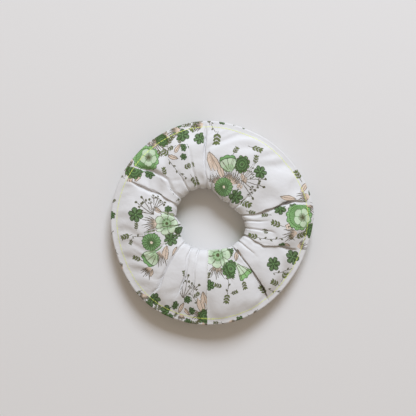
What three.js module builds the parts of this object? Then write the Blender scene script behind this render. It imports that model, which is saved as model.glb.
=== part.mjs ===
// A hair scrunchie lying flat: one strip of printed cotton, folded round an elastic ring, gathered on it, and
// topstitched to itself along the outer edge.
// Units are millimetres, +Z is up. The ring's axis is Z, and the cover rests on the plane z = 0.
import * as THREE from "three";

// Driving dimensions.
const OUTER_RADIUS = 60; // free edge of the cover
const FOLD_RADIUS = 18.8; // mean of the middle of the cloth at its inner fold, which is the edge of the hair hole
// The limp ring lies out of round: its hole departs from a circle by these waves round the ring, as
// [waves in a turn, height of the wave, angle of its first crest in degrees].
const HOLE_WAVES = [
  [1, 2.6, 175],
  [2, 2.3, -27],
  [3, 1, -16],
];
const HEIGHT = 18; // of the puffed cover
const CLOTH = 0.6; // wall of the cover, with the cloth's small gathers
const CLEARANCE = 0.3; // between pieces that touch
const THREAD_DIAMETER = 0.35;
const ELASTIC_WIDTH = 6;
const ELASTIC_THICKNESS = 1;
const ELASTIC_RADIUS = 21.8; // middle of the elastic's inner end
const ELASTIC_OVERLAP = 12; // length over which the elastic's two ends lie on each other

// Worked out from them.
const FLANGE_WIDTH = 4.5; // flat double edge outside the puffed tube
const FLANGE_Z = 0.36 * HEIGHT;
const FLANGE_START = OUTER_RADIUS - FLANGE_WIDTH;
const LAYER_OFFSET = (CLOTH + CLEARANCE) / 2; // from the middle of the flange to the middle of each of its layers
const STITCH_RADIUS = OUTER_RADIUS - 0.66 * FLANGE_WIDTH;
const FOLD_Z = HEIGHT / 2;
const CROWN_RADIUS = 39;
const REST_RADII = [31, 48]; // the flat ring of the underside that the scrunchie rests on
const GATHERS = 18; // folds of the cover round the hole
const GATHER_DEPTH = 1; // half the depth of one gather at the fold
const SEGMENTS = 4 * GATHERS; // facets round the ring
const SEAM_ANGLE = THREE.MathUtils.degToRad(-94); // cross seam that joins the two ends of the strip
const TURN = 2 * Math.PI;

// Moves a point of the round ring to where it lies in the limp one: all the way at the hole, and not at all from the
// crown outwards.
function limp(point) {
  const radius = Math.hypot(point.x, point.y);
  const angle = Math.atan2(point.y, point.x);
  let shift = 0;
  for (const [count, size, crest] of HOLE_WAVES) {
    shift += size * Math.cos(count * (angle - THREE.MathUtils.degToRad(crest)));
  }
  const share = 1 - THREE.MathUtils.smoothstep(radius, FOLD_RADIUS, CROWN_RADIUS + 4);
  const stretch = (radius + shift * share) / radius;
  return point.set(point.x * stretch, point.y * stretch, point.z);
}

const material = (color, roughness) => new THREE.MeshStandardMaterial({ color, roughness, metalness: 0 });

// A named mesh of a geometry that was made for the round ring.
function named(name, geometry, itsMaterial) {
  const points = geometry.getAttribute("position");
  const point = new THREE.Vector3();
  for (let i = 0; i < points.count; i++) {
    limp(point.fromBufferAttribute(points, i));
    points.setXYZ(i, point.x, point.y, point.z);
  }
  geometry.computeVertexNormals();
  const mesh = new THREE.Mesh(geometry, itsMaterial);
  mesh.name = name;
  return mesh;
}

// The line that the middle of the cloth follows in a radial section, as points (radius, height): in along the upper
// layer of the flange, over the crown, round the inner fold, out along the flat underside and the lower layer.
function clothLine() {
  const top = FLANGE_Z + LAYER_OFFSET;
  const bottom = FLANGE_Z - LAYER_OFFSET;
  const crown = HEIGHT - CLOTH / 2;
  const floor = CLOTH / 2;
  const line = new THREE.Path();
  line.moveTo(OUTER_RADIUS, top);
  line.lineTo(FLANGE_START, top);
  line.bezierCurveTo(FLANGE_START - 4, top + 4, CROWN_RADIUS + 10, crown, CROWN_RADIUS, crown);
  line.bezierCurveTo(CROWN_RADIUS - 11, crown, FOLD_RADIUS, FOLD_Z + 8, FOLD_RADIUS, FOLD_Z);
  line.bezierCurveTo(FOLD_RADIUS, FOLD_Z - 6, REST_RADII[0] - 6, floor, REST_RADII[0], floor);
  line.lineTo(REST_RADII[1], floor);
  line.bezierCurveTo(REST_RADII[1] + 4, floor, FLANGE_START - 3, bottom - 2, FLANGE_START, bottom);
  line.lineTo(OUTER_RADIUS, bottom);
  return line.getPoints(5);
}

// The unit normal of a line of points at its point i, on the side away from the inside of the tube.
function normalAt(line, i) {
  const before = line[Math.max(i - 1, 0)];
  const after = line[Math.min(i + 1, line.length - 1)];
  const along = new THREE.Vector2().subVectors(after, before).normalize();
  return new THREE.Vector2(along.y, -along.x);
}

// How far the gathers push the cloth out at a point (radius, height) of the section and an angle round the ring. They
// are deepest at the inner fold, and die out at the crown above and before the flat underside below.
function gather(point, angle) {
  const end = point.y > FOLD_Z ? CROWN_RADIUS : REST_RADII[0] - 1;
  const fade = THREE.MathUtils.smoothstep(end - point.x, 0, end - FOLD_RADIUS);
  return GATHER_DEPTH * fade * Math.cos(GATHERS * (angle - SEAM_ANGLE));
}

// A point of the cover, a given distance outside the middle of the cloth.
function coverPoint(line, i, angle, outside) {
  const push = outside + gather(line[i], angle);
  const at = line[i].clone().addScaledVector(normalAt(line, i), push);
  return new THREE.Vector3(at.x * Math.cos(angle), at.x * Math.sin(angle), at.y);
}

// The cover: the section's outer face and inner face as one closed loop, carried round the ring. It stays open by a
// slit between the flange's two layers, where the thread holds them together.
function coverGeometry(line) {
  const loop = [
    ...line.map((_, i) => [i, CLOTH / 2]),
    ...line.map((_, i) => [line.length - 1 - i, -CLOTH / 2]),
  ];
  const positions = [];
  for (let s = 0; s < SEGMENTS; s++) {
    for (const [i, outside] of loop) {
      positions.push(...coverPoint(line, i, (s * TURN) / SEGMENTS, outside).toArray());
    }
  }
  const index = [];
  for (let s = 0; s < SEGMENTS; s++) {
    const here = s * loop.length;
    const next = ((s + 1) % SEGMENTS) * loop.length;
    for (let k = 0; k < loop.length; k++) {
      const up = (k + 1) % loop.length;
      index.push(here + k, next + k, next + up, here + k, next + up, here + up);
    }
  }
  const geometry = new THREE.BufferGeometry();
  geometry.setAttribute("position", new THREE.Float32BufferAttribute(positions, 3));
  geometry.setIndex(index);
  return geometry;
}

// A solid of constant section along an open curve.
function swept(section, curve, steps) {
  return new THREE.ExtrudeGeometry(section, { extrudePath: curve, steps, curveSegments: 1, bevelEnabled: false });
}

function threadSection() {
  const corners = [];
  for (let i = 0; i < 6; i++) {
    const angle = (i * TURN) / 6;
    corners.push(new THREE.Vector2(Math.cos(angle), Math.sin(angle)).multiplyScalar(THREAD_DIAMETER / 2));
  }
  return new THREE.Shape(corners);
}

// The elastic runs once round the ring and a little further, each end on a slightly different radius, so that the
// ends lie on each other.
class ElasticLine extends THREE.Curve {
  getPoint(t, target = new THREE.Vector3()) {
    const overlap = ELASTIC_OVERLAP / ELASTIC_RADIUS;
    const angle = SEAM_ANGLE + Math.PI - overlap / 2 + t * (TURN + overlap);
    const step = ELASTIC_THICKNESS + CLEARANCE;
    const radius = ELASTIC_RADIUS + (step * t * (TURN + overlap)) / TURN;
    return target.set(radius * Math.cos(angle), radius * Math.sin(angle), FOLD_Z);
  }
}

// A zigzag of thread on the outer face of the elastic, along the overlap of its ends.
class JoinLine extends THREE.Curve {
  getPoint(t, target = new THREE.Vector3()) {
    const length = 0.7 * ELASTIC_OVERLAP;
    const radius = ELASTIC_RADIUS + 1.75 * ELASTIC_THICKNESS + 2 * CLEARANCE + THREAD_DIAMETER;
    const angle = SEAM_ANGLE + Math.PI + ((t - 0.5) * length) / radius;
    const height = 0.33 * ELASTIC_WIDTH * Math.sin(5 * TURN * t);
    return target.set(radius * Math.cos(angle), radius * Math.sin(angle), FOLD_Z + height);
  }
}

// The thread of the cross seam lies inside the cover, along the whole section apart from the flange.
function crossSeamCurve(line) {
  const inside = -(CLOTH / 2 + CLEARANCE + THREAD_DIAMETER / 2);
  const points = [];
  for (let i = 2; i < line.length - 2; i++) points.push(coverPoint(line, i, SEAM_ANGLE, 1.15 * inside));
  return new THREE.CatmullRomCurve3(points);
}

function topstitch(side) {
  const height = FLANGE_Z + side * (LAYER_OFFSET + CLOTH / 2 + CLEARANCE + THREAD_DIAMETER / 2);
  return new THREE.TorusGeometry(STITCH_RADIUS, THREAD_DIAMETER / 2, 5, SEGMENTS).translate(0, 0, height);
}

const line = clothLine();
const elasticSection = new THREE.Shape([
  new THREE.Vector2(-ELASTIC_WIDTH / 2, -ELASTIC_THICKNESS / 2),
  new THREE.Vector2(ELASTIC_WIDTH / 2, -ELASTIC_THICKNESS / 2),
  new THREE.Vector2(ELASTIC_WIDTH / 2, ELASTIC_THICKNESS / 2),
  new THREE.Vector2(-ELASTIC_WIDTH / 2, ELASTIC_THICKNESS / 2),
]);

const scrunchie = new THREE.Group();
scrunchie.add(
  named("cover", coverGeometry(line), material(0xdedde3, 0.9)),
  named("elastic_band", swept(elasticSection, new ElasticLine(), 60), material(0xf1efe9, 0.8)),
  named("elastic_join_thread", swept(threadSection(), new JoinLine(), 60), material(0xf4f2ec, 0.6)),
  named("cross_seam_thread", swept(threadSection(), crossSeamCurve(line), 40), material(0xf4f2ec, 0.6)),
  named("topstitch_needle_thread", topstitch(1), material(0xdfe8a4, 0.55)),
  named("topstitch_bobbin_thread", topstitch(-1), material(0xdfe8a4, 0.55)),
);

export default scrunchie;
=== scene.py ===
"""A hair scrunchie of white cotton with a green floral print, lying flat.

The cover is one strip of cloth. Across the strip it runs in rows, from the outer edge over the front, round
the inner fold and back under to the outer edge. Round the ring it runs in columns, from the cross seam and
back to it. Sizes in the tables are in millimetres and angles in degrees, counted anticlockwise from +X.
"""

import math
from collections import namedtuple

import bpy
import numpy as np
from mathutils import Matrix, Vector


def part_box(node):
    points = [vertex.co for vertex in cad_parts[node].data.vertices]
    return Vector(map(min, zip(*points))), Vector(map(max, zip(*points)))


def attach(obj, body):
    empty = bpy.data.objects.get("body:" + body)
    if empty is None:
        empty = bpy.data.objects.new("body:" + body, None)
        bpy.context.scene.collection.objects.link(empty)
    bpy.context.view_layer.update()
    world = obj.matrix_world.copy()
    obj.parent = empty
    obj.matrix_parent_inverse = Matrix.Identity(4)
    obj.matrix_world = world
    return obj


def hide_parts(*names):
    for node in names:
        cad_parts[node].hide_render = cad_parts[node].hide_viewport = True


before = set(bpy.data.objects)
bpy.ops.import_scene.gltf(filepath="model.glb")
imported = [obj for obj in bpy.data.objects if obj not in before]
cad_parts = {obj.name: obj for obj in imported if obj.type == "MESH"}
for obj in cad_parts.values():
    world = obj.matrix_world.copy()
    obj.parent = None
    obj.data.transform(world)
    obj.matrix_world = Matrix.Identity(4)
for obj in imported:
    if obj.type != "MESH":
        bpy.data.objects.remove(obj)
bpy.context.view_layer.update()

TURN = 2 * math.pi
TINY = 1e-9  # keeps a division from one by zero
cover_low, cover_high = (np.array(corner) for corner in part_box("cover"))
OUTER_RADIUS_MM = 60.0
MM = float(cover_high[0] - cover_low[0]) / 2 / OUTER_RADIUS_MM  # metres in one millimetre of the tables

# ---------------------------------------------------------------- the cover's shape

# The cover's section, from the outer edge to the inner fold and back: radius, height, the radius that the
# same cloth would have if it weren't gathered, and how deep a fold can go there.
FRONT_SECTION = [
    (60.0, 10.4, 60.0, 0.0),
    (57.5, 10.7, 60.0, 0.2),
    (55.0, 11.3, 60.0, 1.5),
    (50.0, 12.6, 59.0, 5.0),
    (44.5, 13.9, 56.5, 8.0),
    (38.0, 15.1, 52.0, 9.0),
    (31.0, 15.8, 46.0, 7.0),
    (26.0, 15.8, 41.0, 3.0),
    (22.0, 14.7, 36.5, 1.9),
    (19.5, 12.2, 34.0, 1.6),
    (18.8, 9.0, 33.0, 1.5),
]
BACK_SECTION = [
    (19.6, 6.0, 34.0, 1.5),
    (22.0, 3.2, 36.0, 1.3),
    (26.0, 1.8, 38.5, 2.0),
    (31.0, 1.1, 41.5, 2.6),
    (38.0, 0.8, 45.5, 3.0),
    (46.0, 1.5, 51.5, 2.5),
    (51.0, 3.9, 55.5, 2.0),
    (55.0, 7.2, 59.0, 0.8),
    (57.5, 8.6, 60.0, 0.2),
    (60.0, 8.8, 60.0, 0.0),
]
SEAM_X_MM = -3.4  # the cross seam runs along -Y at this X

COLUMNS = 264
ROWS = 58
HEM_ROWS = 7  # rows of the fine grid that are turned in at each outer edge
HEM_GAP_MM = 0.5
CLOTH_MM = 0.3
SEAM_GROOVE_MM = 0.4
SEAM_GROOVE_REACH_MM = 0.7
CURVE_STEPS = 40  # points between two of a table's rows, before they are spaced evenly

# How the limp ring lies out of round: the hole as waves round the ring (count, size, angle of the first
# crest), which the CAD has too, with bulges of cloth (angle, how far into the hole, half width), and the
# outer edge as its radius at some angles.
HOLE_RADIUS_MM = 18.8
HOLE_WAVES = [(1, 2.6, 175), (2, 2.3, -27), (3, 1.0, -16)]
HOLE_WAVES_END_MM = 43.0
HOLE_BULGES = [(188, 3.6, 11), (72, 1.8, 13), (36, 0.8, 12), (320, 0.7, 10)]
EDGE = [
    (-90, 60.8), (-60, 58.6), (-38, 56.9), (-12, 57.6), (8, 60.2), (32, 58.3), (70, 57.8),
    (98, 60.3), (150, 60.5), (175, 60.8), (200, 60.0), (228, 62.3), (250, 61.8),
]
EDGE_STEP = 4.0
EDGE_SMOOTHING = 6  # passes
EDGE_REACH_MM = 12.0  # how far in from the edge its shape is felt
FLANGE_WAVES = [(2, 0.6, 250), (3, 0.7, 40), (5, 0.5, -70), (8, 0.35, 10)]  # of its height
FLANGE_WAVES_START_MM = 44.0
FLANGE_WAVES_FULL_MM = 56.0

# The folds, in order round the ring: the line of the valley as (radius, angle) from the hole outwards, its
# share of the gathered cloth, the radius where it dies out, how far it slips under the cloth on its
# anticlockwise side (or on its clockwise side when negative), and how much wider than usual its mouth is.
Fold = namedtuple("Fold", "line share end lean mouth")
FOLDS = [
    Fold([(20, -76), (38, -74)], 0.35, 42, 0.0, 1.8),
    Fold([(20, -52), (40, -53.5), (60, -55)], 0.36, 60, 0.0, 0.6),
    Fold([(20, -37), (36, -40)], 0.3, 36, 0.0, 1.6),
    Fold([(20, -24), (26, -28), (33, -28), (41, -21), (60, -17)], 0.8, 54, 0.6, 1.3),
    Fold([(20, -10), (40, -9)], 0.4, 40, 0.0, 1.6),
    Fold([(20, 2), (40, 1)], 0.35, 36, 0.0, 1.6),
    Fold([(17, 14), (24, 9.5), (30, 8.7), (36, 11), (42, 14), (50, 13), (60, 10.5)], 1.0, 60, 0.6, 1.2),
    Fold([(20, 33), (36, 37)], 0.35, 38, 0.0, 1.9),
    Fold([(20, 50), (40, 54)], 0.4, 46, 0.0, 2.2),
    Fold([(20, 68), (40, 71)], 0.35, 44, 0.0, 2.0),
    Fold([(22, 93), (34, 88.4), (42, 92)], 0.45, 46, 0.0, 1.6),
    Fold([(22, 101), (34, 97.5), (45, 95.2), (60, 94.2)], 0.65, 60, -0.3, 2.4),
    Fold([(20, 113), (44, 108)], 0.4, 52, 0.0, 2.4),
    Fold([(20, 127), (40, 122)], 0.35, 40, 0.0, 2.0),
    Fold([(20, 143), (24, 142), (36, 136), (47, 139), (60, 148)], 0.6, 58, 0.2, 2.4),
    Fold([(20, 157), (35, 153.3), (60, 155)], 0.8, 56, -0.6, 2.2),
    Fold([(20, 172), (42, 167)], 0.35, 42, 0.0, 2.0),
    Fold([(20, 186), (44, 189)], 0.4, 48, 0.0, 2.3),
    Fold([(20, 201), (44, 206)], 0.4, 50, 0.0, 2.3),
    Fold([(20, 217), (30, 220), (40, 223.8), (50, 229.6)], 0.8, 57, 0.0, 2.0),
    Fold([(20, 231), (36, 243), (44, 244)], 0.6, 52, 0.0, 1.8),
    Fold([(20, 243), (36, 252), (50, 255)], 0.35, 52, 0.0, 1.8),
]
MOUTH_SHARE = 0.15  # width of a fold's mouth, as a share of the cloth hidden in it
MOUTH_MM = 0.5  # and what is added to that
MOUTH_LIMIT = 0.9  # of the way to the next fold
MOUTH_SHALLOWS = 0.7  # the power of its mouth's width that a fold's depth is divided by
FOLD_FADE = 0.35  # the share of its end's radius over which a fold dies out
FOLD_FADE_FROM = 0.02

# The simulation that settles the cloth. It is larger, because Blender's cloth settings suit about a metre.
SIM_PER_MM = 0.01
SIM_FRAMES = 40
SIM_TABLE_GAP = 0.004
LOOSENESS = 0.07  # LOOSENESS = 0.07 # the share by which the cloth is longer than when folded along the listed folds, so that it creases
HELD_OUTSIDE_MM = 56.3  # at its outer seam the cloth is held
HELD_INSIDE_MM = 20.5  # and where it lies on the elastic
EASED_INSIDE_MM = 25.0  # and less firmly up to here
EASED_GRIP = 0.25
CLOTH_SETTINGS = {
    "quality": 6,
    "mass": 0.1,
    "tension_stiffness": 20,
    "compression_stiffness": 20,
    "shear_stiffness": 8,
    "bending_stiffness": 4,
    "tension_damping": 10,
    "compression_damping": 10,
    "shear_damping": 8,
    "bending_damping": 2,
    "air_damping": 4,
    "use_pressure": True,
    "uniform_pressure_force": 0.5,
    "shrink_min": -LOOSENESS,
    "vertex_group_mass": "held",
}
CONTACT_SETTINGS = {
    "collision_quality": 3,
    "distance_min": 0.004,
    "use_self_collision": True,
    "self_distance_min": 0.004,
}
RIPPLE_PASSES = 2
PRESSED_FROM_MM = 12.0  # the height from which the puffed cloth is pressed flatter
PRESSED_TO_MM = 6.3  # the most that is left above that height
PRESSED_SHARE = 0.88  # how steeply it still rises at first


def smooth_line(points, count):
    """A smooth curve through the points: that many of it, evenly spaced by their first two numbers."""
    p = np.array(points, float)
    padded = np.vstack([2 * p[0] - p[1], p, 2 * p[-1] - p[-2]])
    t = np.linspace(0, 1, CURVE_STEPS, endpoint=False)[:, None]
    fine = []
    for a, b, c, d in zip(padded, padded[1:], padded[2:], padded[3:]):
        square = (2 * a - 5 * b + 4 * c - d) * t**2
        cube = (3 * b - a - 3 * c + d) * t**3
        fine.append(0.5 * (2 * b + (c - a) * t + square + cube))
    fine = np.vstack([*fine, p[-1:]])
    along = np.concatenate([[0], np.cumsum(np.linalg.norm(np.diff(fine[:, :2], axis=0), axis=1))])
    at = np.linspace(0, along[-1], count)
    return np.stack([np.interp(at, along, fine[:, k]) for k in range(p.shape[1])], axis=1)


def smoothstep(x):
    x = np.clip(x, 0, 1)
    return x * x * (3 - 2 * x)


def waves(angle, table):
    """The sum of a table's waves round the ring at an angle."""
    return sum(size * np.cos(count * (angle - math.radians(crest))) for count, size, crest in table)


def edge_radius(angle):
    """The limp ring's outer radius at an angle, from the table with its corners smoothed."""
    at, edge = np.array(EDGE, float).T
    turns = np.concatenate([at - 360, at, at + 360])
    fine = np.arange(0, 360, EDGE_STEP)
    even = np.interp(fine, turns, np.tile(edge, 3))
    for _ in range(EDGE_SMOOTHING):
        even = (np.roll(even, 1) + 2 * even + np.roll(even, -1)) / 4
    return np.interp(np.degrees(angle), fine, even, period=360)


def limp(points):
    """Points (x, y, ...) of the round ring, moved to where they lie in the limp one."""
    radius = np.hypot(points[..., 0], points[..., 1])
    angle = np.arctan2(points[..., 1], points[..., 0])
    hole = waves(angle, HOLE_WAVES)
    for middle, reach, half_width in HOLE_BULGES:
        apart = np.angle(np.exp(1j * (angle - math.radians(middle)))) / math.radians(half_width)
        hole = hole - reach * np.exp(-apart * apart)
    near_hole = 1 - smoothstep((radius - HOLE_RADIUS_MM) / (HOLE_WAVES_END_MM - HOLE_RADIUS_MM))
    out = edge_radius(angle) - OUTER_RADIUS_MM
    near_edge = smoothstep((radius - OUTER_RADIUS_MM + EDGE_REACH_MM) / EDGE_REACH_MM)
    stretch = (radius + hole * near_hole + out * near_edge) / radius
    return np.concatenate([points[..., :2] * stretch[..., None], points[..., 2:]], axis=-1)


class Row:
    """One row of the cloth, folded: the angle round the ring and the depth in a fold of each column. Between
    folds the cloth lies at its full length, and the folds take what is left over."""

    def __init__(self, radius, loose, deepest, columns):
        self.radius = radius
        self.start = -math.pi / 2 + math.asin(SEAM_X_MM / radius)
        lines = [np.array(fold.line, float).T for fold in FOLDS]
        centres = np.radians([np.interp(radius, *line) for line in lines])
        ends = np.array([fold.end for fold in FOLDS])
        shares = np.array([fold.share for fold in FOLDS])
        shares = shares * smoothstep((ends - radius) / (FOLD_FADE * ends) + FOLD_FADE_FROM)
        mouths = np.array([fold.mouth for fold in FOLDS])
        hidden = TURN * (loose - radius) * shares / max(shares.sum(), TINY)
        space = np.diff(np.concatenate([[self.start], centres, [self.start + TURN]]))
        widest = MOUTH_LIMIT * radius * np.minimum(space[:-1], space[1:])
        opening = np.minimum((MOUTH_SHARE * hidden + MOUTH_MM) * mouths, widest)
        left = centres - opening / 2 / radius
        self.right = centres + opening / 2 / radius
        used = np.cumsum(hidden)
        self.left_cloth = radius * (left - self.start) + np.concatenate([[0], used[:-1]])
        self.right_cloth = radius * (self.right - self.start) + used
        self.cloth = np.linspace(0, 1, columns, endpoint=False) * TURN * loose
        self.length = TURN * loose
        cloth_marks = np.stack([self.left_cloth, self.right_cloth], 1).ravel()
        angle_marks = np.stack([left - self.start, self.right - self.start], 1).ravel()
        self.angle = self.start + np.interp(
            self.cloth,
            np.concatenate([[0], cloth_marks, [self.length]]),
            np.concatenate([[0], angle_marks, [TURN]]),
        )
        self.depth = np.zeros(columns)
        for k, fold in enumerate(FOLDS):
            width = max(self.right_cloth[k] - self.left_cloth[k], TINY)
            t = np.clip((self.cloth - self.left_cloth[k]) / width * 2 - 1, -1, 1)
            drop = np.cos(0.5 * math.pi * t) ** 2
            deep = min(0.5 * hidden[k], deepest) / fold.mouth**MOUTH_SHALLOWS
            self.depth += deep * drop
            self.angle += fold.lean * deep * drop / radius


def cover_points():
    """The cover's points in millimetres as (row, column, axis), folded along the listed folds for the
    simulation's start, and its section with one point for each row."""
    section = smooth_line(FRONT_SECTION + BACK_SECTION, ROWS)
    along = np.gradient(section[:, :2], axis=0)
    along /= np.linalg.norm(along, axis=1, keepdims=True)
    outwards = np.stack([along[:, 1], -along[:, 0]], axis=1)
    folded = np.zeros((ROWS, COLUMNS, 3))
    for row, (radius, height, loose, deepest) in enumerate(section):
        place = Row(radius, loose, deepest, COLUMNS)
        near_flange = (radius - FLANGE_WAVES_START_MM) / (FLANGE_WAVES_FULL_MM - FLANGE_WAVES_START_MM)
        r = radius - place.depth * outwards[row, 0]
        z = height - place.depth * outwards[row, 1]
        z += waves(place.angle, FLANGE_WAVES) * smoothstep(near_flange)
        folded[row] = np.stack([r * np.cos(place.angle), r * np.sin(place.angle), z], axis=1)
    return limp(folded), section


def grid_faces(rows, columns):
    """Quads of a grid that closes on itself round the ring."""
    row, column = np.meshgrid(np.arange(rows - 1) * columns, np.arange(columns), indexing="ij")
    after = (column + 1) % columns
    corners = [row + column, row + after, row + columns + after, row + columns + column]
    return np.stack(corners, axis=2).reshape(-1, 4)


def new_mesh_object(name, points, faces):
    mesh = bpy.data.meshes.new(name)
    mesh.from_pydata(np.asarray(points).reshape(-1, 3).tolist(), [], list(map(list, faces)))
    mesh.polygons.foreach_set("use_smooth", [True] * len(mesh.polygons))
    mesh.update()
    made = bpy.data.objects.new(name, mesh)
    bpy.context.scene.collection.objects.link(made)
    return made


def square(name, half):
    """A level square round the origin, from half its side."""
    corners = [(-half, -half, 0), (half, -half, 0), (half, half, 0), (-half, half, 0)]
    return new_mesh_object(name, corners, [(0, 1, 2, 3)])


def grip(radius):
    """How firmly the simulation holds the cloth at a radius, from 0 to 1."""
    if radius > HELD_OUTSIDE_MM or radius < HELD_INSIDE_MM:
        return 1.0
    return EASED_GRIP if radius < EASED_INSIDE_MM else 0.0


def relax(folded, section):
    """Lets the folded cloth settle by a cloth simulation, held at its outer seam and at the elastic. Returns
    the points."""
    cloth = new_mesh_object("cloth_start", folded * SIM_PER_MM, grid_faces(ROWS, COLUMNS))
    held = cloth.vertex_groups.new(name=CLOTH_SETTINGS["vertex_group_mass"])
    for row, radius in enumerate(section[:, 0]):
        held.add(list(range(row * COLUMNS, (row + 1) * COLUMNS)), grip(radius), "REPLACE")
    table = square("table_start", 2 * OUTER_RADIUS_MM * SIM_PER_MM)
    table.modifiers.new("collision", "COLLISION")
    table.collision.thickness_outer = SIM_TABLE_GAP
    simulation = cloth.modifiers.new("settle", "CLOTH")
    for key, value in CLOTH_SETTINGS.items():
        setattr(simulation.settings, key, value)
    simulation.settings.effector_weights.gravity = 0
    for key, value in CONTACT_SETTINGS.items():
        setattr(simulation.collision_settings, key, value)
    simulation.point_cache.frame_start = 1
    simulation.point_cache.frame_end = SIM_FRAMES
    scene = bpy.context.scene
    scene.frame_start = 1
    scene.frame_end = SIM_FRAMES
    for number in range(1, SIM_FRAMES + 1):
        scene.frame_set(number)
    settled = cloth.evaluated_get(bpy.context.evaluated_depsgraph_get())
    points = np.empty(ROWS * COLUMNS * 3)
    settled.data.vertices.foreach_get("co", points)
    for made in (cloth, table):
        bpy.data.objects.remove(made, do_unlink=True)
    scene.frame_set(1)
    return points.reshape(ROWS, COLUMNS, 3) / SIM_PER_MM


def finer(values, closed):
    """Values along the first axis with one more between each two, on a smooth curve. A closed row of values
    gets one between its last and its first too."""
    if closed:
        before, after, far = (np.roll(values, by, axis=0) for by in (1, -1, -2))
    else:
        first = 2 * values[:1] - values[1:2]
        last = 2 * values[-1:] - values[-2:-1]
        padded = np.concatenate([first, values, last, last])
        before, after, far = padded[:-3], padded[2:-1], padded[3:]
    halfway = (9 * (values + after) - before - far) / 16
    woven = np.stack([values, halfway], axis=1).reshape(-1, *values.shape[1:])
    return woven if closed else woven[:-1]


def cover_normals(points):
    """The direction out of the cloth at each point of a grid."""
    across = np.gradient(points, axis=0)
    along = np.roll(points, -1, axis=1) - np.roll(points, 1, axis=1)
    normal = np.cross(across, along)
    return normal / np.maximum(np.linalg.norm(normal, axis=2, keepdims=True), TINY)


def evened(values, times):
    """Values on a grid, closed along its second axis, without the ripple of single rows and columns."""
    for _ in range(times):
        values = (np.roll(values, 1, axis=1) + 2 * values + np.roll(values, -1, axis=1)) / 4
        inner = (values[:-2] + 2 * values[1:-1] + values[2:]) / 4
        values = np.concatenate([values[:1], inner, values[-1:]])
    return values


def pressed(height):
    """A height of the puffed cloth after it is pressed flatter."""
    above = np.maximum(height - PRESSED_FROM_MM, 0)
    left = PRESSED_TO_MM * np.tanh(above / PRESSED_TO_MM * PRESSED_SHARE)
    return height + (left - above)


folded, section = cover_points()
settled = folded + evened(relax(folded, section) - folded, RIPPLE_PASSES)
settled[..., 2] = pressed(settled[..., 2])
cloth_points = np.moveaxis(finer(np.moveaxis(finer(settled, False), 1, 0), True), 0, 1)
fine_section = finer(section, False)
fine_rows, fine_columns = cloth_points.shape[:2]
places = [Row(radius, loose, deepest, fine_columns) for radius, _, loose, deepest in fine_section]
outward = cover_normals(cloth_points)
from_seam = np.minimum(np.arange(fine_columns), fine_columns - np.arange(fine_columns))
from_seam_mm = from_seam[None, :] * np.array([place.length for place in places])[:, None] / fine_columns
cloth_points -= outward * (SEAM_GROOVE_MM * np.exp(-((from_seam_mm / SEAM_GROOVE_REACH_MM) ** 2)))[..., None]

# The rows of the whole cover, hems included, as numbers of the fine rows that they follow, and how far each
# lies from that row: down from the front and up from the back, into the pocket between them.
front_hem = list(range(HEM_ROWS))[::-1]
back_hem = [fine_rows - 1 - row for row in range(HEM_ROWS)]
all_rows = np.array([*front_hem, *range(fine_rows), *back_hem])
hem_drop = np.zeros(len(all_rows))
hem_drop[:HEM_ROWS] = -HEM_GAP_MM
hem_drop[-HEM_ROWS:] = HEM_GAP_MM
cover_grid = cloth_points[all_rows].copy()
cover_grid[..., 2] += hem_drop[:, None]
cover = new_mesh_object("printed_cover", cover_grid * MM, grid_faces(len(all_rows), fine_columns))
wall = cover.modifiers.new("cloth", "SOLIDIFY")
wall.thickness = CLOTH_MM * MM
wall.offset = -1

# ---------------------------------------------------------------- where the print's motifs lie

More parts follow.
